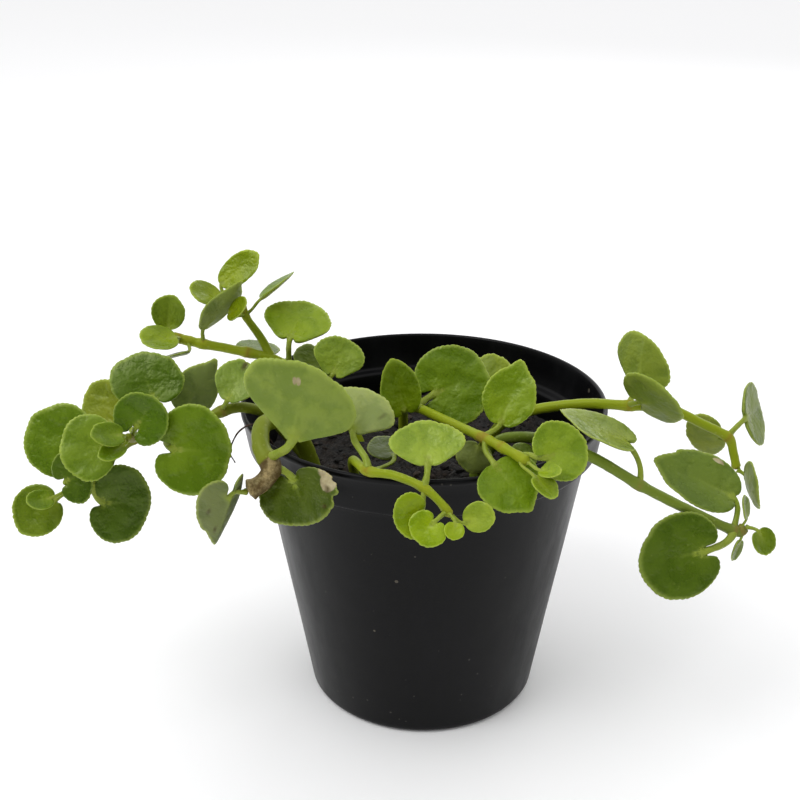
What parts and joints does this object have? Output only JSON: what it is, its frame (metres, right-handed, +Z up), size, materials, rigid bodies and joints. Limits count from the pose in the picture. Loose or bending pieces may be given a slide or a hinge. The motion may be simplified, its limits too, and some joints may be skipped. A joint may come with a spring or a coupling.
{
  "type": "potted crassula",
  "caption": "Trailing succulent with round fleshy leaves on jointed stems that hang over the rim of a tapered round nursery pot filled with soil.",
  "frame": {"origin": "middle of the pot's flat base, on the surface it stands on", "axes": "+Z up through the pot's mouth, -Y the front where the short shoot hangs over the rim, +X the right, along the plant's longest spread"},
  "size_m": [0.1798, 0.1019, 0.1107],
  "materials": {
    "pot_plastic": "satin black injection-moulded plastic, dusty, with fine scuffs",
    "soil": null,
    "stem": null,
    "leaf": null,
    "dry_root": "thin dark dry root, matte"
  },
  "bodies": {
    "root": {"dry_rootlet": "dry_root", "front_leaf_1": "leaf", "front_leaf_2": "leaf", "front_leaf_3": "leaf", "front_leaf_4": "leaf", "front_leaf_5": "leaf", "front_leaf_6": "leaf", "front_stem": "stem", "hanging_leaf_1": "leaf", "hanging_leaf_2": "leaf", "hanging_leaf_3": "leaf", "hanging_stem": "stem", "high_leaf_1": "leaf", "high_leaf_10": "leaf", "high_leaf_11": "leaf", "high_leaf_12": "leaf", "high_leaf_2": "leaf", "high_leaf_3": "leaf", "high_leaf_4": "leaf", "high_leaf_5": "leaf", "high_leaf_6": "leaf", "high_leaf_7": "leaf", "high_leaf_8": "leaf", "high_leaf_9": "leaf", "left_leaf_1": "leaf", "left_leaf_10": "leaf", "left_leaf_11": "leaf", "left_leaf_2": "leaf", "left_leaf_3": "leaf", "left_leaf_4": "leaf", "left_leaf_5": "leaf", "left_leaf_6": "leaf", "left_leaf_7": "leaf", "left_leaf_8": "leaf", "left_leaf_9": "leaf", "left_trailing_stem": "stem", "left_upper_stem": "stem", "low_leaf_1": "leaf", "low_leaf_2": "leaf", "low_leaf_3": "leaf", "low_leaf_4": "leaf", "middle_leaf_1": "leaf", "middle_leaf_2": "leaf", "middle_leaf_3": "leaf", "middle_leaf_4": "leaf", "middle_leaf_5": "leaf", "middle_leaf_6": "leaf", "middle_leaf_7": "leaf", "middle_stem": "stem", "pot": "pot_plastic", "right_leaf_1": "leaf", "right_leaf_2": "leaf", "right_leaf_3": "leaf", "right_leaf_4": "leaf", "right_leaf_5": "leaf", "right_leaf_6": "leaf", "right_lower_stem": "stem", "right_upper_stem": "stem", "soil": "soil"}
  },
  "joints": []
}
